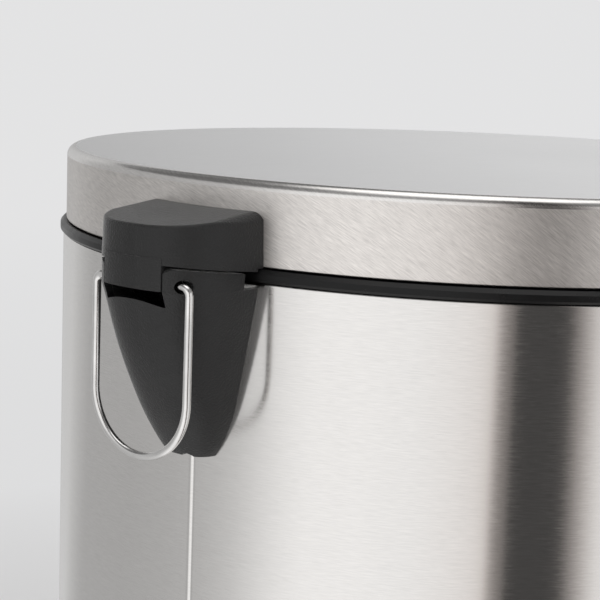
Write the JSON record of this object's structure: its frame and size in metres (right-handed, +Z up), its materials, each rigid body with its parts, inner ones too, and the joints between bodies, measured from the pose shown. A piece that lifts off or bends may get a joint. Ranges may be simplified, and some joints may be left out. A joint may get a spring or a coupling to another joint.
{
  "type": "pedal bin",
  "caption": "Round step-on waste bin of brushed steel, with a hinged lid, wire carry handle at the hinge, foot pedal with push rod, and a lift-out inner bucket.",
  "frame": {"origin": "centre of the base, on the floor", "axes": "+Z up, -Y towards the pedal, +Y towards the lid hinge and the carry handle, X along the hinge pin"},
  "size_m": [0.2982, 0.3829, 0.4465],
  "materials": {
    "brushed_steel": "fine brushed stainless sheet",
    "bright_wire": "bright drawn wire",
    "zinc_plate": "zinc plated steel",
    "black_plastic": "fine grained polypropylene",
    "soft_rubber": "soft moulded rubber"
  },
  "bodies": {
    "root": {"body_shell": "brushed_steel", "rim_ring": "black_plastic", "base_moulding": "black_plastic", "foot_ring": "soft_rubber", "hinge_bracket": "black_plastic", "bracket_screws": "zinc_plate", "rod_guides": "black_plastic", "pedal_pin": "zinc_plate", "pin_clip": "zinc_plate"},
    "lid": {"lid_shell": "brushed_steel", "lid_liner": "black_plastic", "hinge_cover": "black_plastic", "lid_arm": "zinc_plate", "lid_screws": "zinc_plate", "lid_bumpers": "soft_rubber"},
    "handle": {"carry_handle": "bright_wire"},
    "pedal": {"pedal_lever": "zinc_plate", "pedal_pad": "black_plastic", "pedal_rivets": "zinc_plate"},
    "rod": {"push_rod": "zinc_plate"},
    "bucket": {"bucket": "black_plastic"},
    "bail": {"bucket_bail": "zinc_plate"}
  },
  "joints": [
    {"name": "lid_hinge", "type": "hinge", "parent": "root", "child": "lid", "pos_m": [0, 0.1706, 0.4157], "axis": [-1, 0, 0], "range_deg": [0, 72]},
    {"name": "handle_swing", "type": "hinge", "parent": "root", "child": "handle", "pos_m": [0, 0.1706, 0.4157], "axis": [1, 0, 0], "range_deg": [0, 100]},
    {"name": "pedal_tilt", "type": "hinge", "parent": "root", "child": "pedal", "pos_m": [0, -0.07, 0.035], "axis": [1, 0, 0], "range_deg": [0, 11.1]},
    {"name": "rod_pivot", "type": "hinge", "parent": "pedal", "child": "rod", "pos_m": [0.0105, 0.14052, 0.01463], "axis": [-1, 0, 0], "range_deg": [0, 11.1]},
    {"name": "bucket_lift", "type": "slide", "parent": "root", "child": "bucket", "axis": [0, 0, 1], "range_m": [0, 0.012]},
    {"name": "bucket_bail_tilt", "type": "hinge", "parent": "bucket", "child": "bail", "pos_m": [0, 0, 0.4111], "axis": [-1, 0, 0], "range_deg": [0, 6]}
  ],
  "couplings": [
    {"joint": "pedal_tilt", "follows": "lid_hinge", "ratio": 0.15353},
    {"joint": "rod_pivot", "follows": "lid_hinge", "ratio": 0.15353}
  ]
}
